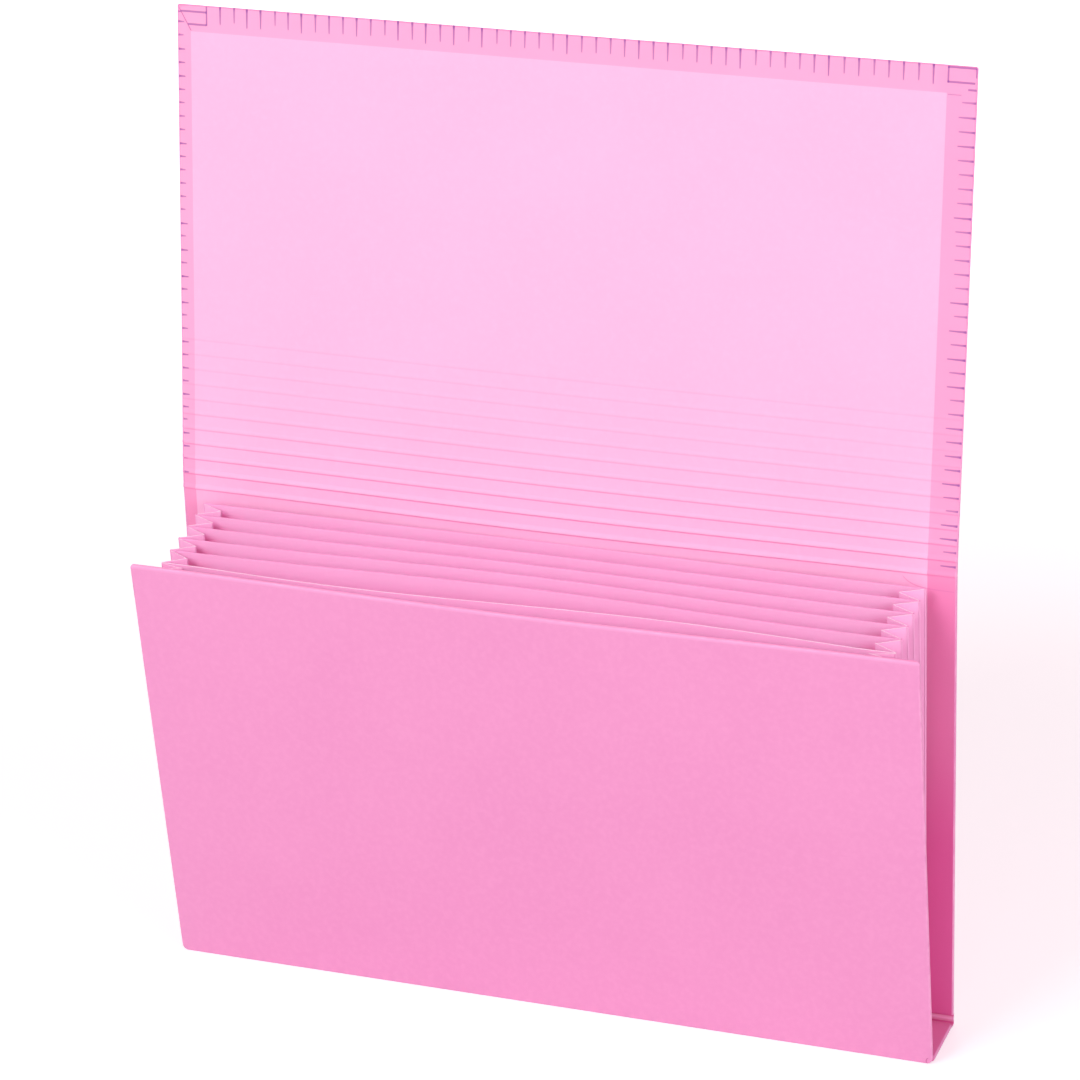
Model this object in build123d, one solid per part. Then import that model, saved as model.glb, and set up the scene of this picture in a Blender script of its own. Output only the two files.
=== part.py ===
"""Accordion file folder standing on its spine, flap up, pockets fanned.

Millimetres. The origin is the middle of the spine's underside. +X runs to the right along the spine,
+Y points from the front cover to the back cover, and +Z points up.
"""
import os
from math import asin, atan2, cos, degrees, radians, sin

from build123d import *

# Overall sizes
WIDTH = 340.0           # covers, side to side
DEPTH = 35.0            # closed case, back face to front face
BACK_HEIGHT = 208.0     # floor to the lowest score
FRONT_HEIGHT = 198.0    # along the front cover
FLAP_LENGTH = 208.0     # lowest score to the flap's free edge
FRONT_LEAN = 7.0        # degrees forward, as it stands open

# Board, paper and lining
BOARD = 1.6             # greyboard in the back, spine and front
FLAP_CARD = 0.5         # thinner stiffener in the flap
PAPER = 0.2             # cover paper
LINING_PROUD = 0.1      # lining above the turned-in paper round it
EDGE_LEFT = 6.1         # turned-in paper left in view beside the lining
EDGE_RIGHT = 12.3
EDGE_TOP = 11.1
CORNER = 3.0            # rounded lower corners of the front cover
FLAP_CORNER = 1.5
JOINT_GROOVE = 2.0      # bare paper between the spine board and a cover
HINGE_CLEAR = 0.1       # between the turning front cover and the spine

# Scores at the foot of the flap
SCORE_COUNT = 11
SCORE_PITCH = 6.55
SCORE_WIDTH = 0.95      # each groove, across its mouth
SKIN_GAP = 0.02         # between neighbouring strips at the outer skin
REST_TURNS = (3.2, 2.5, 1.5)  # degrees that the lowest scores lean back; the rest are straight

# Bellows
POCKETS = 6
SHEET = 0.5             # dividers and the two end panels
REAR_TOP = 204.0        # spine underside to the rear panel's top edge
FRONT_TOP = 196.3       # the same along the front panel; the dividers step down evenly between the two
BELLOWS_INSET = 12.0    # cover's side edge to the gussets' outward folds
LEAF = 10.0             # gusset leaf at the mouth, from its outward to its inward fold
LEAF_THICK = 0.36
LEAF_CLEAR = 0.06       # leaf to the sheet that carries it
FOLD_NOSE = 0.5         # paper round the outward fold, beyond the leaves
FOLD_CLEAR = 0.1        # leaf end to the fold's nose
VALLEY_CLEAR = 0.25     # between two leaves at their inward fold
TOP_PITCH = 9.0         # sheet to sheet at the mouth
REAR_STANDOFF = 4.5     # rear panel off the lining at the mouth
FLOOR_RISE = 2.0        # inward folds of the pocket floors above their outward folds
FLOOR_CLEAR = 0.5       # sheet's foot above its fold in the floor
FLOOR_LEAF_CLEAR = 0.4  # leaves above the floor

# Worked out from the sizes above
HALF = WIDTH / 2
BELLOWS_HALF = HALF - BELLOWS_INSET
COVER = BOARD + 2 * PAPER
FLAP_THICK = FLAP_CARD + 2 * PAPER
BEVEL_SLOPE = SCORE_WIDTH / 2 / FLAP_THICK
BACK_Y = DEPTH / 2
HINGE_Y = -DEPTH / 2 + COVER / 2
HINGE_Z = COVER / 2
SPINE_REAR = BACK_Y - COVER
SPINE_FRONT = HINGE_Y + COVER / 2 + HINGE_CLEAR
SHEET_OFF = LINING_PROUD + SHEET / 2
REAR_SHEET_Y = BACK_Y - COVER - SHEET_OFF
FRONT_SHEET_Y = HINGE_Y + COVER / 2 + SHEET_OFF
FLOOR_PITCH = (REAR_SHEET_Y - FRONT_SHEET_Y) / POCKETS
FLOOR_SLOPE = atan2(FLOOR_RISE, FLOOR_PITCH / 2)
FLOOR_HALF_THICK = LEAF_THICK / 2 / cos(FLOOR_SLOPE)
FLOOR_FOLD_Z = COVER + LINING_PROUD + FLOOR_HALF_THICK
FOOT_Z = FLOOR_FOLD_Z + FLOOR_HALF_THICK + FLOOR_CLEAR
LEAF_FOOT = FLOOR_FOLD_Z + FLOOR_RISE + FLOOR_HALF_THICK + FLOOR_LEAF_CLEAR - FOOT_Z
LEAF_OFF = SHEET / 2 + LEAF_CLEAR + LEAF_THICK / 2
LEAVES_SPENT = 2 * LEAF_OFF + LEAF_THICK + VALLEY_CLEAR

NODES = {}


def stand(y, z, lean):
    """Frame of an upright sheet: x to the right, y up the sheet, z out of its front. Lean is forward."""
    turn = radians(lean)
    return Plane(origin=(0, y, z), x_dir=(1, 0, 0), z_dir=(0, -cos(turn), -sin(turn))).location


def outline(left, right, low, high, low_round=0, high_round=0):
    """Rectangle between four lines, with its lower and upper corners rounded."""
    face = Pos((left + right) / 2, (low + high) / 2) * Rectangle(right - left, high - low)
    if low_round:
        face = fillet(face.vertices().group_by(Axis.Y)[0], low_round)
    if high_round:
        face = fillet(face.vertices().group_by(Axis.Y)[-1], high_round)
    return face


def slab(left, right, low, high, back, front):
    """Flat piece between six planes of a sheet's frame."""
    return Pos(0, 0, back) * extrude(outline(left, right, low, high), amount=front - back)


def along_x(points, left, right):
    """Prism along the width, from points given as (up the sheet, out of its face)."""
    section = Plane(origin=(left, 0, 0), x_dir=(0, 1, 0), z_dir=(1, 0, 0))
    return extrude(section * make_face(Polyline(*points, close=True)), amount=right - left)


def wrapped(core, low, high, low_turn, high_turn, low_round=0, high_round=0, high_edge=0):
    """One covered panel: paper with its turn-ins, the board inside it, and the lining in the turn-ins' window.

    The outer face is at z = 0. A turned end has paper round the board's edge; a plain end runs on into its neighbour.
    """
    thick = core + 2 * PAPER
    board_low = low + (PAPER if low_turn else 0)
    board_high = high - (PAPER if high_turn else 0)
    envelope = extrude(outline(-HALF, HALF, low, high, low_round, high_round), amount=thick)
    board = Pos(0, 0, PAPER) * extrude(
        outline(PAPER - HALF, HALF - PAPER, board_low, board_high, max(low_round - PAPER, 0), max(high_round - PAPER, 0)),
        amount=core,
    )
    window = outline(EDGE_LEFT - HALF, HALF - EDGE_RIGHT, low + (EDGE_TOP if low_turn else 0), high - high_edge)
    lining = Pos(0, 0, thick - PAPER) * extrude(window, amount=PAPER + LINING_PROUD)
    return envelope - board - lining, board, lining


def groove_cut(edge, side, thick):
    """Wedge that bevels a panel's end at a score, so that the panels can fold towards their inner faces."""
    over = thick + LINING_PROUD
    tip = edge + side * BEVEL_SLOPE * over
    return along_x([(edge, 0), (edge, over), (tip, over)], -HALF, HALF)


def add(place, **solids):
    """Keep each solid, moved from its own frame to its place, under its node's name."""
    for name, solid in solids.items():
        NODES[name] = place * solid


# Back cover, from the floor to the lowest score

back_place = stand(BACK_Y, 0, 0)
back_wrap, back_board, back_lining = wrapped(BOARD, 0, BACK_HEIGHT, True, False)
back_bevel = groove_cut(BACK_HEIGHT, -1, COVER)
add(back_place, back_wrap=back_wrap - back_bevel, back_board=back_board - back_bevel, back_lining=back_lining - back_bevel)

# Spine: a covered strip between the two joint grooves, with bare paper across the grooves

spine_length = SPINE_REAR - SPINE_FRONT
spine_place = Pos(0, SPINE_FRONT, 0)
spine_wrap, spine_board, spine_lining = wrapped(BOARD, JOINT_GROOVE, spine_length - JOINT_GROOVE, False, False)
front_strip = slab(-HALF, HALF, 0, JOINT_GROOVE, 0, PAPER)
rear_strip = slab(-HALF, HALF, spine_length - JOINT_GROOVE, spine_length, 0, PAPER)
add(spine_place, spine_wrap=spine_wrap + front_strip + rear_strip, spine_board=spine_board, spine_lining=spine_lining)

# Front cover: its foot is a half-round hem about the hinge line, so it rolls on the floor as it turns

front_place = stand(HINGE_Y, HINGE_Z, FRONT_LEAN)
facing = Pos(0, 0, COVER / 2) * Rot(0, 180, 0)
front_end = FRONT_HEIGHT - HINGE_Z
front_wrap, front_board, front_lining = wrapped(
    BOARD, -HINGE_Z, front_end, True, True, low_round=CORNER, high_round=FLAP_CORNER, high_edge=EDGE_TOP
)
below_hinge = slab(-HALF, HALF, -HINGE_Z, 0, 0, COVER)
hem = Pos(0, 0, COVER / 2) * Rot(0, 90, 0) * Cylinder(COVER / 2, WIDTH)
foot = below_hinge & hem & extrude(outline(-HALF, HALF, -HINGE_Z, front_end, CORNER), amount=COVER)
add(
    front_place * facing,
    front_wrap=front_wrap - below_hinge + foot,
    front_board=front_board - below_hinge,
    front_lining=front_lining,
)

# Bellows: seven sheets, hinged at their feet on the folded pocket floor


def sheet_foot(k):
    return REAR_SHEET_Y - k * FLOOR_PITCH


def sheet_length(k):
    """Sheet k from its foot to its top edge: the rear panel is 0, and the last lies on the front cover."""
    return REAR_TOP + (FRONT_TOP - REAR_TOP) * k / POCKETS - FOOT_Z


def sheet_lean(k):
    """Degrees that sheet k leans forward."""
    if k == POCKETS:
        return FRONT_LEAN
    mouth = REAR_SHEET_Y - REAR_STANDOFF - k * TOP_PITCH
    return degrees(asin((sheet_foot(k) - mouth) / sheet_length(k)))


def sheet_place(k):
    """Frame of sheet k, with its foot at y = 0."""
    if k == POCKETS:
        return front_place * Pos(0, FOOT_Z - HINGE_Z, -COVER / 2 - SHEET_OFF)
    return stand(sheet_foot(k), FOOT_Z, sheet_lean(k))


def gap(k, up, place=sheet_place, lean=sheet_lean):
    """Clear distance from sheet k to the next one, at a height up the sheets."""
    middle = radians((lean(k) + lean(k + 1)) / 2)
    step = (place(k + 1) * Pos(0, up, 0)).position - (place(k) * Pos(0, up, 0)).position
    return -step.Y * cos(middle) - step.Z * sin(middle)


def leaf_top(k):
    """Upper end of pocket k's inward folds, halfway between the tops of its two sheets."""
    return (sheet_length(k) + sheet_length(k + 1)) / 2


def leaf_spread(k, **pose):
    """Degrees between a leaf of pocket k and the sheet that carries it."""
    return degrees(asin((gap(k, leaf_top(k), **pose) - LEAVES_SPENT) / 2 / LEAF))


def leaf_width(k, up):
    """Leaf from its outward to its inward fold. It narrows downwards with the pocket, so that it stays flat."""
    return LEAF * (gap(k, up) - LEAVES_SPENT) / (gap(k, leaf_top(k)) - LEAVES_SPENT)


def pocket_sheet(k):
    """Sheet k with the gusset paper's nose along both side edges, over the leaves on the faces that carry them."""
    edge = BELLOWS_HALF + FOLD_CLEAR
    nose_rear = -LEAF_OFF - LEAF_THICK / 2 if k > 0 else -SHEET / 2
    nose_front = LEAF_OFF + LEAF_THICK / 2 if k < POCKETS else SHEET / 2
    body = slab(-edge, edge, 0, sheet_length(k), -SHEET / 2, SHEET / 2)
    for left, right in ((-edge - FOLD_NOSE, -edge), (edge, edge + FOLD_NOSE)):
        body += slab(left, right, LEAF_FOOT, sheet_length(k), nose_rear, nose_front)
    return body


def leaf_fold(side, face):
    """Point of a leaf's outward fold in its sheet's frame. Side is -1 left or 1 right, face -1 rear or 1 front."""
    return Pos(side * BELLOWS_HALF, 0, face * LEAF_OFF)


def leaf(k, side, face):
    """Gusset leaf of pocket k in the frame of the sheet that carries it, the rear or the front one."""
    carrier = k if face > 0 else k + 1
    spread = radians(leaf_spread(k))
    inward = (-side * cos(spread), 0, face * sin(spread))
    flat = Plane(
        origin=leaf_fold(side, face).position,
        x_dir=inward,
        z_dir=Vector(*inward).cross(Vector(0, 1, 0)),
    )
    corners = [
        (0, LEAF_FOOT),
        (leaf_width(k, LEAF_FOOT), LEAF_FOOT),
        (LEAF, leaf_top(k)),
        (0, sheet_length(carrier)),
    ]
    return extrude(flat * make_face(Polyline(*corners, close=True)), amount=LEAF_THICK / 2, both=True)


sheet_names = ["rear_panel"] + [f"divider_{k}" for k in range(1, POCKETS)] + ["front_panel"]
for k, name in enumerate(sheet_names):
    add(sheet_place(k), **{name: pocket_sheet(k)})

for k in range(POCKETS):
    for side, hand in ((-1, "left"), (1, "right")):
        add(sheet_place(k), **{f"leaf_{hand}_{k + 1}_rear": leaf(k, side, 1)})
        add(sheet_place(k + 1), **{f"leaf_{hand}_{k + 1}_front": leaf(k, side, -1)})

# Pocket floor: one folded sheet, low at each sheet's foot and raised in the middle of each pocket

folds = [(REAR_SHEET_Y - i * FLOOR_PITCH / 2, FLOOR_FOLD_Z + FLOOR_RISE * (i % 2)) for i in range(2 * POCKETS + 1)]
upper = [(y, z + FLOOR_HALF_THICK) for y, z in folds]
lower = [(y, z - FLOOR_HALF_THICK) for y, z in reversed(folds)]
add(Pos(0, 0, 0), bellows_floor=along_x(upper + lower, -BELLOWS_HALF, BELLOWS_HALF))

# Scored strips: each turns about the outer skin at its lower score, and the grooves open on the inner face


def score_places():
    """Frame of each score's upper side, from the lowest strip to the flap, and the skin point it stands on."""
    y, z, lean = BACK_Y, BACK_HEIGHT, 0
    places = []
    for i in range(SCORE_COUNT):
        lean -= REST_TURNS[i] if i < len(REST_TURNS) else 0
        places.append((stand(y, z, lean), y, z, lean))
        y -= SCORE_PITCH * sin(radians(lean))
        z += SCORE_PITCH * cos(radians(lean))
    return places


strip_section = [
    (SKIN_GAP, 0),
    (SCORE_PITCH - SKIN_GAP, 0),
    (SCORE_PITCH - SCORE_WIDTH / 2, FLAP_THICK),
    (SCORE_WIDTH / 2, FLAP_THICK),
]
scores = score_places()
for i in range(SCORE_COUNT - 1):
    add(scores[i][0], **{f"flap_strip_{i + 1:02d}": along_x(strip_section, -HALF, HALF)})

# Flap above the scores

flap_high = FLAP_LENGTH - (SCORE_COUNT - 1) * SCORE_PITCH
flap_wrap, flap_card, flap_lining = wrapped(
    FLAP_CARD, SKIN_GAP, flap_high, False, True, high_round=FLAP_CORNER, high_edge=EDGE_TOP
)
flap_bevel = groove_cut(0, 1, FLAP_THICK)
add(
    scores[-1][0],
    flap_wrap=flap_wrap - flap_bevel,
    flap_card=flap_card - flap_bevel,
    flap_lining=flap_lining - flap_bevel,
)

os.makedirs("parts", exist_ok=True)
for name, solid in NODES.items():
    export_step(solid, f"parts/{name}.step")
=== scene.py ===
# %% [markdown]
# # An accordion file folder
# The folder stands on its spine, with its pockets fanned open and its flap up. Everything on it is
# paper: boards wrapped in pink cover paper, a paler lining inside, and a folded bellows between them.
# The CAD model gives the place of every piece. This lesson gives the pieces their paper edges,
# creases and finishes, so the first cell loads that model as a fixed frame.

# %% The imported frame
import math

import bpy
import numpy as np
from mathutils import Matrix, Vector


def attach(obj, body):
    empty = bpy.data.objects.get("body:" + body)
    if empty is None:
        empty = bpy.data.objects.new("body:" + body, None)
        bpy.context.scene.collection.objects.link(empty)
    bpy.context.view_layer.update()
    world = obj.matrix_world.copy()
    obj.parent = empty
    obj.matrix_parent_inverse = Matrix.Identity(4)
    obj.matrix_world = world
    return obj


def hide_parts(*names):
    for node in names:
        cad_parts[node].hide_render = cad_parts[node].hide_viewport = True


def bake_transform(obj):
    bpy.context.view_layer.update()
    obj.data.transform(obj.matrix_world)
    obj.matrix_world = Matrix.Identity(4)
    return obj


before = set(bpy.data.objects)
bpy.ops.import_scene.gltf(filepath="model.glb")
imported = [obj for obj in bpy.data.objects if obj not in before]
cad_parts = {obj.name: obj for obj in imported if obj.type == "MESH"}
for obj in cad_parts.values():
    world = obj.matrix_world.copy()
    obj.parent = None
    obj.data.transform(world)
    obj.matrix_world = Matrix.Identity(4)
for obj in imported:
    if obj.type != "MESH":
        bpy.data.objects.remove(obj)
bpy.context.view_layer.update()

# %% [markdown]
# ## Where the camera stands
# A long lens far away keeps the sides of the folder nearly parallel, as in a product picture. The
# camera is set first, because every later choice is judged through it. A short lens nearby would
# fill the frame as well, but it would make the flap look small and the front board large.

# %% Camera
camera = bpy.data.objects.new("camera", bpy.data.cameras.new("camera"))
bpy.context.scene.collection.objects.link(camera)
camera.data.sensor_width, camera.data.lens = 36, 147.06
camera.location = (0.5759, -1.5522, 0.9535)
camera.rotation_euler = np.radians((65.826, 1.754, 19.65))
bpy.context.scene.camera = camera
print("camera", round(math.dist(camera.location, (0, 0, 0.2)), 2), "m from the folder")

# %% [markdown]
# ## Writing a finish as an expression
# A material in Blender is a graph of nodes, and a formula with ten terms is a lot of boxes and
# lines. A small class that stands for one output socket can overload `+`, `*` and the rest, so that
# a formula is typed as a formula and the Math nodes appear by themselves.

# %% Sockets with operators
def feed(tree, socket, value):
    """Links a wire to a socket, or sets the socket's own value."""
    if isinstance(value, Wire):
        tree.links.new(value.socket, socket)
    else:
        socket.default_value = value


class Wire:
    """One output socket of a material's graph, usable in formulas."""

    def __init__(self, finish, socket):
        self.finish, self.socket = finish, socket

    def math(self, operation, *others):
        return self.finish.node("ShaderNodeMath", {"operation": operation}, dict(enumerate((self, *others))))

    def __add__(self, other):
        return self.math("ADD", other)

    def __mul__(self, other):
        return self.math("MULTIPLY", other)

    def __sub__(self, other):
        return self.math("SUBTRACT", other)

    def __rsub__(self, other):
        return (self * -1) + other

    def __truediv__(self, other):
        return self.math("DIVIDE", other)

    def __abs__(self):
        return self.math("ABSOLUTE")

    __radd__, __rmul__ = __add__, __mul__

    def rise(self, low, high):
        """0 below low, 1 above high, and a smooth step between."""
        return self.finish.node(
            "ShaderNodeMapRange",
            {"interpolation_type": "SMOOTHSTEP"},
            {"Value": self, "From Min": low, "From Max": high},
        )

    def within(self, low, high, soft):
        """1 between low and high, fading to 0 over soft on both sides."""
        return self.rise(low - soft, low) * (1 - self.rise(high, high + soft))


# %% A finish and its graph
def linear(*srgb):
    """Screen colour 0 to 255 to the linear colour that shaders use."""
    c = np.array(srgb) / 255
    return tuple(np.where(c <= 0.04045, c / 12.92, ((c + 0.055) / 1.055) ** 2.4)) + (1.0,)


class Graph:
    """A node tree, with one way to add a node."""

    def __init__(self, tree):
        self.tree = tree
        tree.nodes.clear()

    def node(self, kind, settings=None, sockets=None, output=0):
        """Adds a node: its settings first, then the values or wires of its sockets."""
        node = self.tree.nodes.new(kind)
        for name, value in (settings or {}).items():
            setattr(node, name, value)
        for name, value in (sockets or {}).items():
            feed(self.tree, node.inputs[name], value)
        return Wire(self, node.outputs[output]) if node.outputs else None

    def tint(self, factor, below, above):
        """Colour that goes from below to above as factor goes from 0 to 1."""
        return self.node("ShaderNodeMix", {"data_type": "RGBA"}, {0: factor, 6: below, 7: above}, output=2)

    def grain(self, scale, detail=3.0, stretch=(1, 1, 1)):
        """Noise from 0 to 1 on Object coordinates, with scale in lumps a metre."""
        place = self.node("ShaderNodeTexCoord", output=3)
        place = self.node("ShaderNodeMapping", None, {"Vector": place, "Scale": stretch})
        return self.node("ShaderNodeTexNoise", None, {"Vector": place, "Scale": scale, "Detail": detail})

    def shown(self):
        """1 for rays that the camera sees directly, in gloss or through clear things, and 0 for light."""
        rays = ("Is Camera Ray", "Is Glossy Ray", "Is Transmission Ray")
        direct, gloss, clear = (self.node("ShaderNodeLightPath", output=ray) for ray in rays)
        return (direct + gloss + clear).math("MINIMUM", 1.0)

    def paper(self):
        """Across, along and rim: millimetres on the flat sheet, and from its nearest edge. On the bellows
        sheets the rim is the depth below the mouth, and on the leaves it is 0."""
        spot = self.node("ShaderNodeAttribute", {"attribute_name": "paper"}, output=1)
        split = self.node("ShaderNodeSeparateXYZ", None, {0: spot})
        return [Wire(self, split.socket.node.outputs[i]) for i in range(3)]


class Finish(Graph):
    """A material with one Principled shader, whose inputs are given as wires or plain values."""

    def __init__(self, name, **constants):
        self.material = bpy.data.materials.new(name)
        self.material.use_nodes = True
        super().__init__(self.material.node_tree)
        plain = {socket.replace("_", " "): value for socket, value in constants.items()}
        surface = self.node("ShaderNodeBsdfPrincipled", None, plain)
        self.shader = surface.socket.node
        self.node("ShaderNodeOutputMaterial", None, {"Surface": surface})

    def close(self, colour, roughness, height, depth):
        """Connects colour and roughness, and bumps the surface by height times depth metres."""
        feed(self.tree, self.shader.inputs["Base Color"], colour)
        feed(self.tree, self.shader.inputs["Roughness"], roughness)
        bump = self.node("ShaderNodeBump", None, {"Height": height, "Distance": depth, "Strength": 1.0})
        feed(self.tree, self.shader.inputs["Normal"], bump)
        print(self.material.name, "has", len(self.tree.nodes), "nodes")
        return self.material


# %% [markdown]
# ## The cover paper
# The outside is a smooth printed paper with a low sheen. Seen closely it isn't one pink: the ink is
# a little cloudy, the fibres show in the gloss, and the folded edges are rubbed paler. Three noises
# at the scales of cloud, felt and fibre give the first two. The rim distance on each sheet finds its
# edges, and a fourth noise breaks the rubbing up.

# %% Cover paper
HALF, FLAP_LENGTH = 170.0, 208.0
TOP_HIGHLIGHT_FROM = FLAP_LENGTH - 1.9
PLEAT_ALONG, PLEAT_INSET, PLEAT_REACH, PLEAT_CURVE = 11.7, 2.7, 1.4, 0.35


def cover_paper(name, pleated):
    """Printed paper, with a painted highlight along its top edge. The pleated kind has a small curved fold
    near its lower right corner, its line darkened by painted shade."""
    finish = Finish(name, Specular_IOR_Level=0.35)
    across, along, rim = finish.paper()
    cloud, felt, fibre = finish.grain(14), finish.grain(420), finish.grain(2600, 2.0, (1, 1, 0.45))
    rubbed = (1 - rim.rise(0.1, 1.1)) * finish.grain(160).rise(0.35, 0.7)
    pink = finish.tint(cloud.rise(0.3, 0.7), linear(236, 156, 204), linear(238, 159, 206))
    pink = finish.tint(felt.rise(0.35, 0.75) * 0.25, pink, linear(246, 171, 215))
    pink = finish.tint(rubbed * 0.55, pink, linear(255, 196, 228))
    # Painted highlight: the top edge is made paler where the rounded board edge would catch the light.
    pink = finish.tint(along.rise(TOP_HIGHLIGHT_FROM, TOP_HIGHLIGHT_FROM + 1) * 0.5, pink, linear(255, 182, 226))
    roughness = 0.42 + fibre * 0.16 + rubbed * 0.15
    relief = felt * 0.6 + fibre * 0.4
    if pleated:
        lift = along - PLEAT_ALONG
        pleat_and_shade = abs(HALF - PLEAT_INSET - across + lift * lift * PLEAT_CURVE)
        pleat_and_shade = (1 - pleat_and_shade.rise(0.1, 0.32)) * lift.within(-PLEAT_REACH, PLEAT_REACH, 0.4)
        # Painted shade: the pleat's fold line is darkened in colour; its real relief is the bump below.
        pink = finish.tint(pleat_and_shade * 0.75, pink, linear(196, 100, 154))
        relief = relief - pleat_and_shade * 2
    return finish.close(pink, roughness, relief, 0.00004)


COVER_PAPER, FRONT_PAPER = cover_paper("printed_cover", False), cover_paper("printed_front", True)

# %% [markdown]
# ## The inside: turned-in cover paper and lining
# Inside, the cover paper is folded over the edges of the boards, and a paler sheet is glued over its
# raw ends. Small purple ticks run along the turned-in rim of the flap. Paint on a picture would do,
# but the pattern is plain arithmetic: every sheet carries its own flat coordinates, so a tick is a
# short bar that repeats along the edge, with its length and strength changed a little by its number.

# %% Inside papers
LINING_LEFT, LINING_RIGHT, LINING_END = -163.9, 157.7, 196.9
SCORE_PITCH, SCORE_COUNT = 6.55, 11
LEFT_TICKS = {"length": 3.7, "first": 7.2, "pitch": 5.69, "count": 35}
RIGHT_TICKS = {"length": 7.4, "first": 4.3, "pitch": 5.73, "count": 34}
TOP_TICKS = {"length": 7.9, "first": -150.7, "pitch": 6.06, "count": 51}
TICK_HALF, TICK_TAPER, TICK_SOFT, TICK_SHIFT, TICK_END, BAR_SOFT = 0.5, 0.26, 0.16, 0.5, 0.8, 0.25


def ticks(finish, along, inward, length, first, pitch, count):
    """Bars across an edge at an even pitch, tapering inwards, each with its own length and strength."""
    phase = (along - first) / pitch + 0.5
    number = phase.math("FLOOR")
    chance = finish.node("ShaderNodeTexWhiteNoise", {"noise_dimensions": "1D"}, {"W": number})
    reach = length * (0.82 + chance * 0.3)
    off = abs((phase - number - 0.5) * pitch + (chance - 0.5) * TICK_SHIFT)
    half = TICK_HALF - inward / reach * TICK_TAPER
    line = (1 - off.rise(half - TICK_SOFT, half + TICK_SOFT)) * (1 - inward.rise(reach - TICK_END, reach))
    return line * number.within(0, count - 1, 0.5) * (0.6 + chance * 0.2) * (1.3 - inward.rise(0, 2.2) * 0.4)


def bars(across, along, *boxes):
    """Short printed lines, each a box of left, right, low and high with soft sides."""
    total = 0
    for left, right, low, high in boxes:
        total = across.within(left, right, BAR_SOFT) * along.within(low, high, BAR_SOFT) + total
    return total


STRAY_LINE = (158.3, 163.6, 196.3, 196.5)
CORNER_LINES = (
    (-168.4, -156.9, 204.9, 205.5), (-165.2, -157.0, 199.6, 200.2), (-157.1, -156.6, 199.8, 207.6),
    (-169.9, -168.6, 204.6, 205.1), (157.9, 158.4, 201.2, 207.6), (158.0, 169.4, 207.0, 207.6),
    (158.0, 168.9, 201.1, 201.7), (166.4, 169.9, 198.4, 199.0), (169.3, 169.9, 203.6, 207.2),
)
RIGHT_RIM, POCKET_SHADE, FOOT_SHADE, FOOT_HIGHLIGHT = (150, 157), (-14, 16), (-130, -60), (-206.6, -204.2)
MITRE_SLOPE, MITRE_END, SCORE_SHADE_BELOW = 0.57, 10.5, 0.2
PUCKER_ALONG, PUCKER_ACROSS, PUCKER_END, PUCKER_RISE, PUCKER_FALL = -6.6, 148.2, 168.5, 4.1, 0.25


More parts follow.
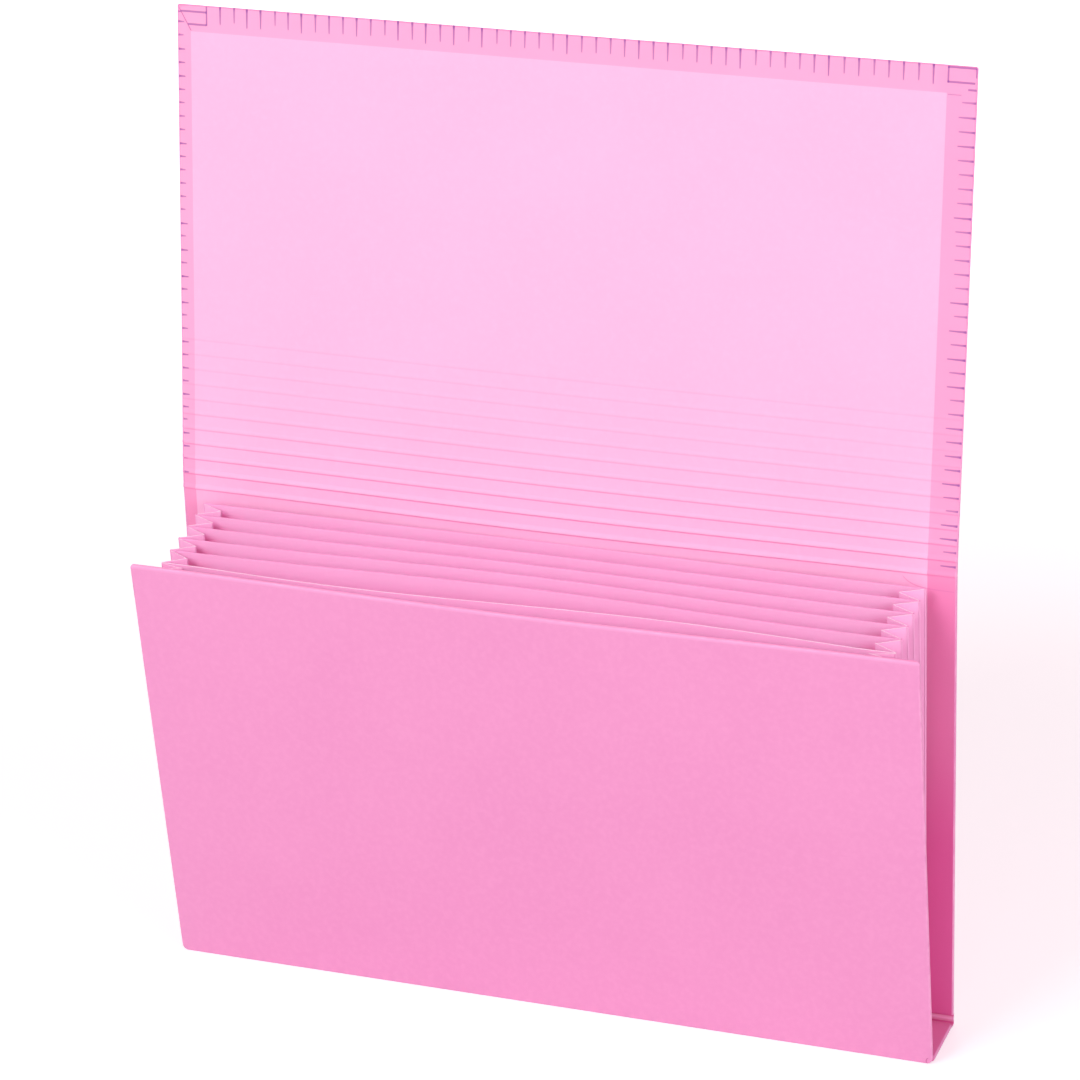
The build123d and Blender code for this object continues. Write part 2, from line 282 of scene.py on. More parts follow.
def inside_papers(name, ticked):
    """Turned-in rim and lining of one panel. Beside the pockets the rim is darkened by painted shade, and the
    bead at its foot is lightened by a painted highlight. The ticked kind has the printed marks, painted shade
    along the scores and a painted shade line for a pucker below the right end of the lowest score."""
    finish = Finish(name, Specular_IOR_Level=0.3)
    across, along, rim = finish.paper()
    cloud, felt, fibre = finish.grain(16), finish.grain(380), finish.grain(2400, 2.0, (1, 1, 0.45))
    lining = across.within(LINING_LEFT, LINING_RIGHT, 0.2) * along.within(-LINING_END, LINING_END, 0.2)
    edge = lining.within(0.25, 0.75, 0.2)
    turned = finish.tint(cloud.rise(0.3, 0.7), linear(253, 174, 213), linear(254, 177, 216))
    # Painted shade: the right rim is darkened a little, the same paper in less light.
    right_painted_shade = across.rise(*RIGHT_RIM) * along.rise(*POCKET_SHADE)
    turned = finish.tint(right_painted_shade * 0.35, turned, linear(247, 156, 203))
    # Painted shade: below the pocket mouths the rim turns deeper and darker pink, more lower down and fuller
    # on the right.
    pocket_painted_shade = (1 - along.rise(*POCKET_SHADE)) * (1 - along.rise(*FOOT_SHADE) * 0.4)
    pocket_painted_shade = pocket_painted_shade * (0.5 + across.rise(-1, 1) * 0.5)
    turned = finish.tint(pocket_painted_shade, turned, linear(231, 108, 172))
    # Painted highlight: the bead at the joint is made lighter where its top would catch the light.
    turned = finish.tint(along.within(*FOOT_HIGHLIGHT, 0.3), turned, linear(255, 178, 220))
    if ticked:
        left, right, top = across + HALF, HALF - across, FLAP_LENGTH - along
        marks = ticks(finish, along, left, **LEFT_TICKS)
        marks = marks + ticks(finish, along, right, **RIGHT_TICKS)
        marks = marks + ticks(finish, across, top, **TOP_TICKS)
        marks = marks + bars(across, along, *CORNER_LINES) * 0.68
        marks = marks + bars(across, along, STRAY_LINE) * 0.4
        mitre = 1 - abs(left - top * MITRE_SLOPE).rise(0.12, 0.4)
        mitre = mitre * (1 - top.rise(MITRE_END, MITRE_END + 0.5))
        turned = finish.tint(mitre, turned, linear(214, 122, 180))
        lip = (1 - rim.rise(0.35, 0.8)) * along.rise(1, 6)
        turned = finish.tint(lip * 0.8, turned, linear(247, 148, 197))
        turned = finish.tint(marks.math("MINIMUM", 1.0), turned, linear(148, 80, 161))
    pale = finish.tint(cloud.rise(0.3, 0.7), linear(252, 192, 227), linear(253, 194, 229))
    pale = finish.tint(felt.rise(0.4, 0.8) * 0.3, pale, linear(254, 201, 234))
    colour = finish.tint(lining, turned, pale)
    # Painted shadow: a darker line along the lining's edge, beside its step.
    colour = finish.tint(edge * 0.35, colour, linear(236, 158, 205))
    rubbed = (1 - rim.rise(0.05, 0.5)) * finish.grain(160).rise(0.3, 0.7)
    colour = finish.tint(rubbed * 0.5, colour, linear(255, 160, 214))
    if ticked:
        # Painted shade: darker lines just below each score, strongest at the lowest ones.
        number = (along / SCORE_PITCH).math("ROUND")
        score_shade = 1 - abs(along - number * SCORE_PITCH + SCORE_SHADE_BELOW).rise(0.12, 0.5)
        score_shade = score_shade * number.within(0, SCORE_COUNT - 1, 0.5) * (0.7 - number.rise(0.5, 7.5) * 0.58)
        colour = finish.tint(score_shade, colour, linear(247, 140, 196))
        # Painted shade: a curved dark line where the lining puckers; it has no relief of its own.
        pucker_shade = ((across - PUCKER_ACROSS) * -PUCKER_FALL).math("EXPONENT") * PUCKER_RISE
        pucker_shade = 1 - abs(along - PUCKER_ALONG - pucker_shade).rise(0.1, 0.45)
        pucker_shade = pucker_shade * across.within(PUCKER_ACROSS - 0.2, PUCKER_END, 0.8)
        colour = finish.tint(pucker_shade * 0.5, colour, linear(228, 126, 184))
    return finish.close(colour, 0.55 + fibre * 0.2, felt * 0.6 + fibre * 0.4, 0.00004)


FLAP_INSIDE = inside_papers("flap_inside", True)
BOARD_INSIDE = inside_papers("board_inside", False)

# %% [markdown]
# ## The bellows paper
# Dividers and gussets are a heavier uncoated paper, dyed through, so its gloss is lower and its
# fibres are coarser. Deeper down in the pockets painted shade makes the pink fuller, most in their
# corners, while the mouth keeps the paler pink. The bare edges of the gussets and the last divider
# are almost white, partly as paler cut fibres and partly as a painted highlight, and that thin bright
# zigzag is what makes the fan of pockets readable from afar.

# %% Bellows paper and its cut edge
FOLD_SIDE, CORNER_SIDE = (153, 156), (136, 152)


def bellows_paper():
    """Dyed paper. Down in the pockets painted shade makes its colour fuller, most in their corners, but its
    outward folds stay pale."""
    finish = Finish("dyed_paper_painted_shade", Specular_IOR_Level=0.25)
    across, _, depth = finish.paper()
    cloud, felt, fibre = finish.grain(20), finish.grain(300), finish.grain(1900, 2.0, (1, 1, 0.4))
    pink = finish.tint(cloud.rise(0.3, 0.7), linear(255, 193, 233), linear(255, 196, 235))
    pink = finish.tint(felt.rise(0.4, 0.8) * 0.3, pink, linear(255, 204, 239))
    side = abs(across)
    inside = 1 - side.rise(*FOLD_SIDE)
    # Painted shade: the pink is made fuller deeper down in the pockets, away from the outward folds.
    pink = finish.tint(depth.rise(3, 20) * inside * 0.65, pink, linear(255, 154, 213))
    # Painted shade: the pockets' corners beside the leaves are darkened to a deep pink.
    corner = depth.rise(1.5, 9) * side.rise(*CORNER_SIDE) * inside
    pink = finish.tint(corner * 0.75, pink, linear(255, 112, 182))
    return finish.close(pink, 0.62 + fibre * 0.2, felt * 0.5 + fibre * 0.5, 0.00005)


def cut_edge(name, dull, bright):
    """Bare edge of a cut sheet, between a dull and a bright colour with the fibres."""
    finish = Finish(name, Specular_IOR_Level=0.2)
    fibre = finish.grain(1500)
    colour = finish.tint(fibre.rise(0.35, 0.7), linear(*dull), linear(*bright))
    return finish.close(colour, 0.75 + fibre * 0.15, fibre, 0.00004)


BELLOWS_PAPER = bellows_paper()
# Painted highlight: the last divider and the leaves get a near-white edge, partly paler cut fibres; the other
# dividers, cut alike, get the pink soft edge.
CUT_EDGE_HIGHLIGHT = cut_edge("cut_edge", (255, 214, 238), (255, 232, 246))
SOFT_EDGE = cut_edge("soft_edge", (250, 172, 218), (252, 178, 223))

# %% [markdown]
# ## A profile carried along a path
# Every piece but the pocket floor is the same idea: a flat closed outline, which is the cross-section
# of a sheet with rounded edges, carried up a path. The outline may change on the way, so a corner is
# rounded by making the section narrower, an edge by making it thinner, and a crease by a small step.
# A cube with a bevel gives the same silhouette, but no place to put creases and flat coordinates.

# %% Sections and meshes
MM = 0.001
EDGE_TURN = np.radians([76, 50, 20, -20, -50, -76])
EDGE, EDGE_POWER = len(EDGE_TURN), 0.7


def smooth(t):
    """0 below 0, 1 above 1, and 3t² - 2t³ between."""
    t = np.clip(t, 0, 1)
    return t * t * (3 - 2 * t)


def section(columns, half, low, high):
    """Closed outlines, one for each row: the upper face from left to right, a rounded edge, the lower face
    back from right to left, and the other edge. An edge point is the cosine and sine of an angle, both to a
    power below 1, times half the thickness, which is a circle pushed out towards a square."""
    half, low, high = (np.reshape(value, (-1, 1)) for value in np.broadcast_arrays(half, low, high))
    bulge, middle = (high - low) / 2, (high + low) / 2
    out = half - bulge + bulge * np.cos(EDGE_TURN) ** EDGE_POWER
    side = middle + bulge * np.sign(EDGE_TURN) * np.abs(np.sin(EDGE_TURN)) ** EDGE_POWER
    face = columns * (half - bulge)
    across = np.hstack([face, out, face[:, ::-1], -out[:, ::-1]])
    height = np.hstack([high + 0 * face, side, low + 0 * face, side[:, ::-1]])
    return across, height


def carried(name, points, paper, finishes, slots):
    """Mesh from outlines: points[i, j] is outline point j of row i, joined to the next row and closed at
    both ends. slots[i, j] picks the finish of the face above it, and an end takes the highest of its row."""
    rows, count = points.shape[:2]
    number = np.arange(rows * count).reshape(rows, count)
    after = np.roll(number, -1, axis=1)
    quads = np.stack([number[:-1], after[:-1], after[1:], number[1:]], -1).reshape(-1, 4)
    mesh = bpy.data.meshes.new(name)
    ends = [number[0, ::-1].tolist(), number[-1].tolist()]
    mesh.from_pydata(points.reshape(-1, 3) * MM, [], quads.tolist() + ends)
    for finish in finishes:
        mesh.materials.append(finish)
    picked = np.append(slots[:-1].ravel(), [slots[0].max(), slots[-1].max()])
    mesh.polygons.foreach_set("material_index", picked.astype(np.int32))
    flat = mesh.attributes.new("paper", "FLOAT_VECTOR", "POINT")
    flat.data.foreach_set("vector", paper.astype(np.float32).ravel())
    mesh.shade_smooth()
    mesh.set_sharp_from_angle(angle=math.radians(50))
    piece = bpy.data.objects.new(name, mesh)
    bpy.context.scene.collection.objects.link(piece)
    return piece


# %% Frames, rows and ends
def standing(y, z, lean):
    """Place on a sheet that stands with its foot at (y, z) and leans forward by some degrees:
    across goes to X, up along the sheet, and out towards the front."""
    s, c = math.sin(math.radians(lean)), math.cos(math.radians(lean))
    return lambda across, up, out: np.stack(
        np.broadcast_arrays(across, y - up * s - out * c, z + up * c - out * s), -1
    )


ROW_PITCH, FINE_SPAN = 4.0, 5.0
FINE = np.array([0, 0.02, 0.06, 0.13, 0.25, 0.45, 0.7, 1.0, 1.4, 1.9, 2.5, 3.2, 4.0])
BOARD_SPAN, BOW_POWER, ROUND_POWER, FULLNESS_STOP = 330, 1.5, 2.6, 0.985


def rows_between(low, high, fine_low=True, fine_high=True):
    """Heights from low to high, closer together at the ends that are rounded."""
    even = np.linspace(low, high, max(2, int((high - low) / ROW_PITCH)))
    if fine_low:
        even = np.append(even[even > low + FINE_SPAN], low + FINE)
    if fine_high:
        even = np.append(even[even < high - FINE_SPAN], high - FINE)
    return np.unique(even.round(4))


def bow(across, share, forward, span=BOARD_SPAN):
    """Paper and board don't stay flat: the middle swings forward by some millimetres, as cos² across its
    span and more and more up the sheet."""
    wave = np.cos(np.clip(across / span, -0.5, 0.5) * np.pi) ** 2
    return forward * wave * np.clip(share, 0, 1) ** BOW_POWER


def fullness(distance, reach):
    """Share of the full thickness at a distance from a rounded end: a quarter of a rounded square, which
    stops short of nothing, so that the end is a narrow face."""
    t = np.clip(1 - distance / reach, 0, FULLNESS_STOP)
    return (1 - t**ROUND_POWER) ** (1 / ROUND_POWER)


def corner_cut(distance, radius):
    """How far a rounded corner draws the side in, at a distance from the end."""
    t = np.clip(1 - distance / radius, 0, 1)
    return radius * (1 - np.sqrt(1 - t * t))


COLUMN_HALF, BESIDE = 169.2, 0.2
lining_sides = [side + step for side in (LINING_LEFT, LINING_RIGHT) for step in (-BESIDE, BESIDE)]
COLUMNS = np.unique(np.append(np.linspace(-1, 1, 41), np.array(lining_sides) / COLUMN_HALF))
FACE = len(COLUMNS)
UPPER, LOWER = slice(0, FACE), slice(FACE + EDGE, 2 * FACE + EDGE)

# %% [markdown]
# ## The back cover
# The back is a board wrapped in cover paper. Its inner face shows the turned-in rim and the lining,
# and near its foot the board stops, so that the paper alone makes the joint to the spine. The
# lining's edge is a step of a tenth of a millimetre, enough to catch a line of light.

# %% Back cover
COVER, LINING, LINING_SLOPE = 2.0, 0.1, 0.3
BOARD_FACE = COVER - LINING
BACK_Y, BACK_TOP, BACK_END, BACK_BOW = 17.5, 208.0, -5.0, 2.6
BOARD_FOOT, BOARD_SLOPE, JOINT_FACE, FOOT_LIFT = 4.6, 0.6, 0.45, 0.6
BEAD_UP, BEAD_HALF, BEAD_HEIGHT = 2.8, 1.15, 1.35
FOOT_ROWS = np.linspace(0, 6.2, 63)


def lining_step(across, along):
    """Height of the lining paper: its thickness inside its outline, and 0 outside."""
    inside = smooth((across - LINING_LEFT) / LINING_SLOPE + 0.5)
    inside = inside * smooth((LINING_RIGHT - across) / LINING_SLOPE + 0.5)
    return LINING * inside * smooth((LINING_END - np.abs(along)) / LINING_SLOPE + 0.5)


def wrapped(name, place, up, along, half, low, high, rim, upper, lower, step, warp):
    """Board or card in its wrap: sections of the given half width from low to high, with the lining's step
    on the upper (1) or lower (-1) face, and the bow warp(across, along). Upper and lower are the finishes of
    the two faces, and the edges take the finish of the face without the lining."""
    across, height = section(COLUMNS, half, low, high)
    side = UPPER if step >= 0 else LOWER
    height[:, side] += step * lining_step(across[:, side], along[:, None])
    height = height + warp(across, along[:, None])
    slots = np.zeros(across.shape)
    slots[:, slice(FACE, None) if step >= 0 else LOWER] = 1
    edge = np.minimum(half[:, None] - np.abs(across), rim[:, None])
    paper = np.stack(np.broadcast_arrays(across, along[:, None], edge), -1)
    return carried(name, place(across, up[:, None], height), paper, [upper, lower], slots)


def back_bow(across, along):
    """Bow of the back, strongest at the lowest score and gone at the flap's end."""
    return bow(across, 1 - np.abs(along) / BACK_TOP, BACK_BOW)


def board_end(up):
    """Inner face near the foot: the board starts about 5 mm up, over a soft bead of paper at the joint."""
    board = BOARD_FACE * smooth((up - BOARD_FOOT) / BOARD_SLOPE)
    bead = BEAD_HEIGHT * np.exp(-(((up - BEAD_UP) / BEAD_HALF) ** 4))
    return np.maximum(np.maximum(board, bead), JOINT_FACE)


up = rows_between(0, BACK_TOP + BACK_END, fine_high=False)
up = np.unique(np.append(up[up > FOOT_ROWS[-1]], FOOT_ROWS).round(3))
thin = 1 - fullness(up, COVER / 2)
back_cover = wrapped(
    "back_cover", standing(BACK_Y, 0, 0), up, up - BACK_TOP, np.full(len(up), HALF),
    thin, board_end(up) + FOOT_LIFT * thin, up, FLAP_INSIDE, COVER_PAPER, 1, back_bow,
)
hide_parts("back_wrap", "back_board", "back_lining")
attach(back_cover, "case")
print(back_cover.name, len(back_cover.data.polygons), "faces")

# %% [markdown]
# ## The flap and its scores
# Above the back the board ends and a thin card goes on, creased eleven times so that it can roll
# over the front. At each score the lining stands out a little and sinks back above it, most at the two
# lowest scores, where the flap has been bent most. The side view of the flap is one curve: its lean
# changes softly at the lowest scores, and adding up small steps along that lean gives the path that
# the section rides on.

# %% Path of the flap
FLAP_THICK, FLAP_CORNER = 0.9, 0.9
REST_TURNS, TURN_LENGTH = (3.2, 2.5, 1.5), 2
PATH_START, PATH_STEP = -12, 0.05
SCORES = SCORE_PITCH * np.arange(SCORE_COUNT)
LAPS = np.array([0.6, 0.6, 0.3, 0.26, 0.2, 0.16, 0.13, 0.11, 0.09, 0.08, 0.07])
LAP_STEP, LAP_CREST, LAP_REACH = 0.36, 0.4, np.where(LAPS > 0.5, 1.9, 1.6)
RIDGE, RIDGE_HALF = 0.1, 0.7

path_s = np.arange(PATH_START, FLAP_LENGTH + 1, PATH_STEP)
path_turns = [turn * smooth((path_s - score) / TURN_LENGTH + 0.5) for turn, score in zip(REST_TURNS, SCORES)]
path_lean = np.radians(sum(path_turns))


def summed(slope):
    """Running sum of a slope along the path, zero at the lowest score."""
    total = np.concatenate([[0], np.cumsum((slope[1:] + slope[:-1]) / 2 * PATH_STEP)])
    return total - np.interp(0, path_s, total)


path_y, path_z = BACK_Y + summed(np.sin(path_lean)), BACK_TOP + summed(np.cos(path_lean))


def on_flap(across, along, out):
    """Place on the flap: along its path by a length, then out from its back towards the front."""
    lean = np.interp(along, path_s, path_lean)
    y = np.interp(along, path_s, path_y) - out * np.cos(lean)
    z = np.interp(along, path_s, path_z) + out * np.sin(lean)
    return np.stack(np.broadcast_arrays(across, y, z), -1)


def inner_face(along):
    """Distance of the inner face from the back: it falls evenly from the board's thickness to the card's.
    At each score it steps out by a lap, steep below and sinking back slowly above, highest at the lowest
    two scores."""
    t = along[:, None] - SCORES
    relief = LAPS * smooth(t / LAP_STEP + 0.5) * (1 - smooth((t - LAP_CREST) / LAP_REACH))
    return np.interp(along, [0, SCORES[-1]], [BOARD_FACE, FLAP_THICK]) + relief.sum(1)


def outer_face(along):
    """The outside shows each score as a low ridge."""
    return -(RIDGE * np.exp(-(((along[:, None] - SCORES) / RIDGE_HALF) ** 2))).sum(1)


print("flap top at", on_flap(0, FLAP_LENGTH, 0).round(1).tolist())

# %% Scored strip, one piece for each score
SCORE_ROWS, BEND_HALF = np.linspace(-2, 2.6, 30), 1.2
for i, score in enumerate(SCORES):
    low = BACK_END if i == 0 else score - SCORE_PITCH / 2
    high = score + SCORE_PITCH / 2
    along = np.unique(np.append(np.linspace(low, high, 25), score + SCORE_ROWS).round(3))
    side = np.full(len(along), HALF)
    strip = wrapped(
        f"score_{i + 1:02d}", on_flap, along, along, side, outer_face(along), inner_face(along),
        side, FLAP_INSIDE, COVER_PAPER, 1, back_bow,
    )
    if i < SCORE_COUNT - 1:
        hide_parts(f"flap_strip_{i + 1:02d}")
    ends = [on_flap(0, score + reach, FLAP_THICK / 2) * MM for reach in (-BEND_HALF, BEND_HALF)]
    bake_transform(strip)
print(len(SCORES), "scored pieces")

# %% Flap panel
along = rows_between(SCORES[-1] + SCORE_PITCH / 2, FLAP_LENGTH, fine_low=False)
rim = FLAP_LENGTH - along
low, high = outer_face(along), inner_face(along)
middle, bulge = (low + high) / 2, fullness(rim, FLAP_THICK / 2) * (high - low) / 2
flap_panel = wrapped(
    "flap_panel", on_flap, along, along, HALF - corner_cut(rim, FLAP_CORNER), middle - bulge, middle + bulge,
    rim, FLAP_INSIDE, COVER_PAPER, 1, back_bow,
)
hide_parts("flap_wrap", "flap_card", "flap_lining")
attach(flap_panel, "flap")
print(flap_panel.name, len(flap_panel.data.polygons), "faces")

# %% [markdown]
# ## The front cover and the spine
# The front board is plain cover paper outside and lined inside. It turns about a hem at its foot, so
# its lower end is a half-round. The spine lies flat: the same section carried from front to back,
# dipping at both sides where paper alone joins it to the boards.

# %% Front cover
HINGE_Y, HINGE_Z, FRONT_LEAN = -16.5, 1.0, 7.0
FRONT_FOOT, FRONT_TOP, FRONT_BOW = -1.0, 197.0, 2.4
FOOT_CORNER, TOP_CORNER = 3.0, 1.5


def front_bow(across, along):
    """Bow of the front board, with along at FLAP_LENGTH on its top edge."""
    return bow(across, (along - FLAP_LENGTH + FRONT_TOP) / FRONT_TOP, FRONT_BOW)


up = rows_between(FRONT_FOOT, FRONT_TOP)
foot, top = up - FRONT_FOOT, FRONT_TOP - up
rim = np.minimum(foot, top)
full = fullness(rim, COVER / 2)
front_cover = wrapped(
    "front_cover", standing(HINGE_Y, HINGE_Z, FRONT_LEAN), up, FLAP_LENGTH - top,
    HALF - corner_cut(foot, FOOT_CORNER) - corner_cut(top, TOP_CORNER), (LINING - COVER / 2) * full,
    COVER / 2 * full, rim, FRONT_PAPER, BOARD_INSIDE, -1, front_bow,
)
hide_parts("front_wrap", "front_board", "front_lining")
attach(front_cover, "front_cover")

# %% Spine
SPINE_FRONT, SPINE_REAR, SPINE_END, SPINE_CORNER = -15.4, 15.5, 17.2, 2.5
GROOVE, GROOVE_DEPTH, GROOVE_SLOPE = 1.2, 1.5, 0.8
# Along is moved to where the rim carries the painted pocket shade, and the long sides are kept from looking
# rubbed.
SPINE_ALONG, UNRUBBED = -60, 3


def lying(across, up, out):
    """Place on the spine: up runs from front to back, and out goes up from the floor."""
    return np.stack(np.broadcast_arrays(across, up, out), -1)


up = np.linspace(SPINE_FRONT, SPINE_END, 100)
ends = np.minimum(up - SPINE_FRONT, SPINE_REAR - up)
spine_face = BOARD_FACE - GROOVE_DEPTH * (1 - smooth((ends - GROOVE) / GROOVE_SLOPE))
spine = wrapped(
    "spine", lying, up, up + SPINE_ALONG, HALF - corner_cut(up - SPINE_FRONT, SPINE_CORNER),
    np.zeros(len(up)), spine_face, ends + UNRUBBED, BOARD_INSIDE, COVER_PAPER, 1,
    lambda across, along: 0 * across,
)
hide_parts("spine_wrap", "spine_board", "spine_lining")
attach(spine, "case")
print("front cover and spine are on")

# %% [markdown]
# ## The bellows
# Six pockets lie between seven sheets: a rear panel, five dividers and a front panel. At each side a
# gusset joins every sheet to the next with two leaves, folded outwards at the sheets and inwards
# halfway between. Each leaf turns by itself when the pockets close, so each is a piece of its own,
# and the sheets carry a narrow nose over the outward folds, which hides the ends of the leaves.

# %% Bellows sizes
POCKETS, SHEET = 6, 0.5
BELLOWS_HALF, LEAF, LEAF_THICK, LEAF_OFF, LEAVES_SPENT = 158.0, 10.0, 0.36, 0.49, 1.59
REAR_SHEET_Y, REAR_TOP, MOUTH_DROP, MOUTH_OFF, MOUTH_PITCH = 15.15, 204.0, 7.7, 4.5, 9
FLOOR_PITCH, FLOOR_RISE, FLOOR_CLEAR = 5.05, 2, 0.5
FOLD_HALF = LEAF_THICK / 2 / math.cos(math.atan2(FLOOR_RISE, FLOOR_PITCH / 2))
FOOT_Z, LEAF_FOOT = COVER + LINING + 2 * FOLD_HALF + FLOOR_CLEAR, 1.9


def sheet_length(k):
    """The mouth slopes: the sheets step down evenly from the rear panel to the front one."""
    return REAR_TOP - MOUTH_DROP * k / POCKETS - FOOT_Z


def sheet_lean(k):
    """Each sheet leans so that its top stands one pitch before the last one's, and the front panel leans with
    its cover."""
    foot, mouth = REAR_SHEET_Y - FLOOR_PITCH * k, REAR_SHEET_Y - MOUTH_OFF - MOUTH_PITCH * k
    return FRONT_LEAN if k == POCKETS else math.degrees(math.asin((foot - mouth) / sheet_length(k)))


def sheet_place(k):
    """Place on sheet k: the front panel lies on its cover, and the others stand on the floor's folds."""
    if k == POCKETS:
        cover = standing(HINGE_Y, HINGE_Z, FRONT_LEAN)
        off = COVER / 2 + LINING + SHEET / 2
        return lambda across, up, out: cover(across, up + FOOT_Z - HINGE_Z, out - off)
    return standing(REAR_SHEET_Y - FLOOR_PITCH * k, FOOT_Z, sheet_lean(k))


def gap(k, up):
    """Distance from the middle of sheet k to that of the next one, square to the plane between them."""
    middle = math.radians((sheet_lean(k) + sheet_lean(k + 1)) / 2)
    step = sheet_place(k + 1)(0, up, 0) - sheet_place(k)(0, up, 0)
    return -step[1] * math.cos(middle) - step[2] * math.sin(middle)


print("pocket gaps at the mouth, mm:", [round(float(gap(k, sheet_length(k + 1))), 2) for k in range(POCKETS)])

# %% Sheets
SHEET_BOWS = (-1.2, -1.0, -2.0, -3.2, -3.8, -0.8, 2.4)
LAST_SWAY, FREE_SPAN = 2.2, 288
SHEET_HALF, NOSE_HALF, NOSE_SLOPE, NOSE = BELLOWS_HALF + 0.6, BELLOWS_HALF + 0.04, 0.08, 0.42
EDGE_BAND = 0.14
nose_columns = BELLOWS_HALF + np.array([0.06, 0.14, 0.34])
even_columns = np.linspace(-1, 1, 41) * (BELLOWS_HALF - 0.4)
SHEET_COLUMNS = np.concatenate([-nose_columns[::-1], even_columns, nose_columns]) / (SHEET_HALF - SHEET / 2)


def slotted(count, rim):
    """Finish numbers of a sheet: 1, the cut edge, on its last rounded rows, and 0 elsewhere."""
    return np.repeat((rim < EDGE_BAND)[:, None], count, 1).astype(int)


def pocket_sheet(k, name):
    """Sheet with a nose along each side: just outside the bellows' half width it thickens over the leaves.
    Its middle bows, and the last divider also swings forward on the left and back on the right."""
    up = rows_between(0, sheet_length(k))
    rim = sheet_length(k) - up
    full = fullness(np.minimum(rim, up), SHEET / 2)
    across, height = section(SHEET_COLUMNS, np.full(len(up), SHEET_HALF), -SHEET / 2 * full, SHEET / 2 * full)
    nose = NOSE * smooth((np.abs(across) - NOSE_HALF) / NOSE_SLOPE) * (up > LEAF_FOOT)[:, None]
    count = len(SHEET_COLUMNS)
    upper, lower = slice(0, count), slice(count + EDGE, 2 * count + EDGE)
    if k < POCKETS:
        height[:, upper] += nose[:, upper]
    if k > 0:
        height[:, lower] -= nose[:, lower]
    share = (up[:, None] + FOOT_Z) / (sheet_length(k) + FOOT_Z)
    height = height + bow(across, share, SHEET_BOWS[k], FREE_SPAN)
    if k == POCKETS - 1:
        wave = np.sin(np.clip(across / FREE_SPAN, -0.5, 0.5) * 2 * np.pi)
        height = height - LAST_SWAY * wave * share**BOW_POWER
    paper = np.stack(np.broadcast_arrays(across, up[:, None], rim[:, None]), -1)
    points = sheet_place(k)(across, up[:, None], height)
    edge = CUT_EDGE_HIGHLIGHT if k == POCKETS - 1 else SOFT_EDGE
    return carried(name, points, paper, [BELLOWS_PAPER, edge], slotted(across.shape[1], rim))


sheet_names = ["rear_panel"] + [f"divider_{k}" for k in range(1, POCKETS)] + ["front_panel"]
sheet_bodies = ["case"] + sheet_names[1:-1] + ["front_cover"]
for k, (name, body) in enumerate(zip(sheet_names, sheet_bodies)):
    sheet = pocket_sheet(k, f"{name}_paper")
    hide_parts(name)
    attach(sheet, body)
print(len(sheet_names), "sheets")

# %% Gusset leaves
LEAF_COLUMNS = np.linspace(-1, 1, 9)


def gusset_leaf(k, side, face, name):
    """Flat leaf from its outward fold to its inward one. Downwards its width changes in step with the gap of
    its pocket, and its top edge slants from the sheet's top to halfway to the next one."""
    carrier = k if face > 0 else k + 1
    top = (sheet_length(k) + sheet_length(k + 1)) / 2
    spread = math.asin((gap(k, top) - LEAVES_SPENT) / 2 / LEAF)
    up = rows_between(LEAF_FOOT, sheet_length(carrier))
    share = (up - LEAF_FOOT) / (sheet_length(carrier) - LEAF_FOOT)
    foot_width = LEAF * (gap(k, LEAF_FOOT) - LEAVES_SPENT) / (gap(k, top) - LEAVES_SPENT)
    width = foot_width + (LEAF - foot_width) * share
    rim = sheet_length(carrier) - up
    full = fullness(np.minimum(rim, up - LEAF_FOOT), LEAF_THICK / 2)
    x, height = section(LEAF_COLUMNS, width / 2, -LEAF_THICK / 2 * full, LEAF_THICK / 2 * full)
    x = x + width[:, None] / 2
    rise = up[:, None] + (top - sheet_length(carrier)) * x / LEAF * share[:, None]
    across = side * (BELLOWS_HALF - x * math.cos(spread)) - face * math.sin(spread) * height
    out = face * (LEAF_OFF + x * math.sin(spread)) - side * math.cos(spread) * height
    paper = np.stack(np.broadcast_arrays(x, rise, 0.0), -1)
    points = sheet_place(carrier)(across, rise, out)
    return carried(name, points, paper, [BELLOWS_PAPER, CUT_EDGE_HIGHLIGHT], slotted(x.shape[1], rim))


for k in range(POCKETS):
    for side, hand in ((-1, "left"), (1, "right")):
        for face, where in ((1, "rear"), (-1, "front")):
            node = f"leaf_{hand}_{k + 1}_{where}"
            leaf = gusset_leaf(k, side, face, f"{node}_paper")
            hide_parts(node)
            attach(leaf, node)
print(POCKETS * 4, "leaves")

# %% Pocket floor
floor_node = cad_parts["bellows_floor"]
floor_node.data.materials.clear()
floor_node.data.materials.append(BELLOWS_PAPER)
print("the pocket floor keeps its CAD shape")

# %% [markdown]
# ## Floor and light
# A large soft lamp from the upper left and front makes the shading. Weaker lamps from the front, the
# right and the back fill the rest, with a world that is a little pink, because real paper lets some
# pink light through into the pockets and this paper doesn't. The floor and the world are drawn white
# to the camera only, so no extra light has to fall on the folder for the background to be white.

# %% Floor
mesh = bpy.data.meshes.new("floor")
mesh.from_pydata([(-4, -4, 0), (4, -4, 0), (4, 6, 0), (-4, 6, 0)], [], [(0, 1, 2, 3)])
ground = bpy.data.objects.new("floor", mesh)
bpy.context.scene.collection.objects.link(ground)

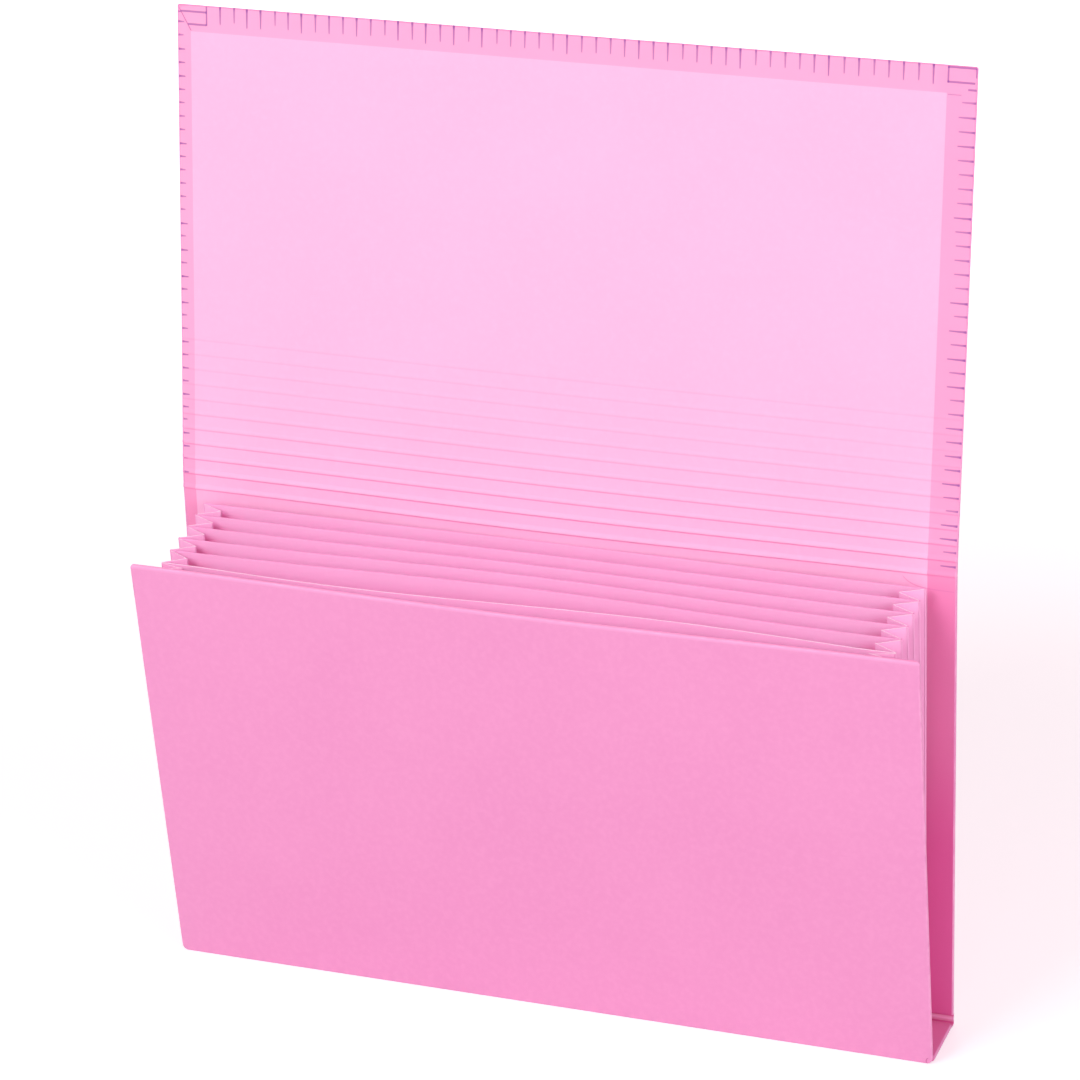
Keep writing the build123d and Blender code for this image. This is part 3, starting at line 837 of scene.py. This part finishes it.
pale = Finish("floor", Roughness=0.9, Specular_IOR_Level=0.1, Emission_Strength=1.0)
white = pale.tint(pale.grain(3) * 0.2, (0.8, 0.8, 0.8, 1), (0.82, 0.81, 0.815, 1))
feed(pale.tree, pale.shader.inputs["Base Color"], white)
spot = pale.node("ShaderNodeTexCoord", output=3)
away = pale.node("ShaderNodeVectorMath", {"operation": "LENGTH"}, {0: spot}, output=1)
near, far = (0.44, 0.475, 0.462, 1), (0.85, 0.86, 0.855, 1)
shine = pale.tint(away.rise(0.3, 1.2), near, far)
feed(pale.tree, pale.shader.inputs["Emission Color"], pale.tint(pale.shown(), (0, 0, 0, 1), shine))
mesh.materials.append(pale.material)
print("floor", [round(side, 1) for side in ground.dimensions], "m")

# %% World and lamps
world = bpy.data.worlds.new("studio")
bpy.context.scene.world = world
world.use_nodes = True
sky = Graph(world.node_tree)
towards = sky.node("ShaderNodeTexCoord", output="Generated")
right = sky.node("ShaderNodeSeparateXYZ", None, {0: towards}).rise(0, 0.7)
glow = sky.tint(right, (0.4, 0.265, 0.31, 1), (0.42, 0.2, 0.29, 1))
glow = sky.tint(sky.shown(), glow, (1, 1, 1, 1))
sky.node("ShaderNodeOutputWorld", None, {"Surface": sky.node("ShaderNodeBackground", None, {"Color": glow})})


def lamp(name, place, aim, size, power):
    """Square soft lamp at a place, turned to its aim."""
    light = bpy.data.lights.new(name, "AREA")
    light.size, light.energy = size, power
    piece = bpy.data.objects.new(name, light)
    bpy.context.scene.collection.objects.link(piece)
    piece.location = place
    piece.rotation_euler = (Vector(place) - Vector(aim)).to_track_quat("Z", "Y").to_euler()


lamp("key", (-0.95, -1.85, 1.75), (0, 0, 0.2), 1.3, 30)
lamp("front_fill", (0.25, -2.7, 1.0), (0, 0, 0.15), 1.8, 11)
lamp("side_fill", (1.9, -1.0, 0.9), (0.15, 0, 0.15), 1.2, 17)
lamp("back_fill", (-0.5, 2.6, 1.3), (0, 0, 0.2), 1.8, 22)
bpy.context.scene.view_settings.view_transform = "Standard"
print("lamps and world are set")
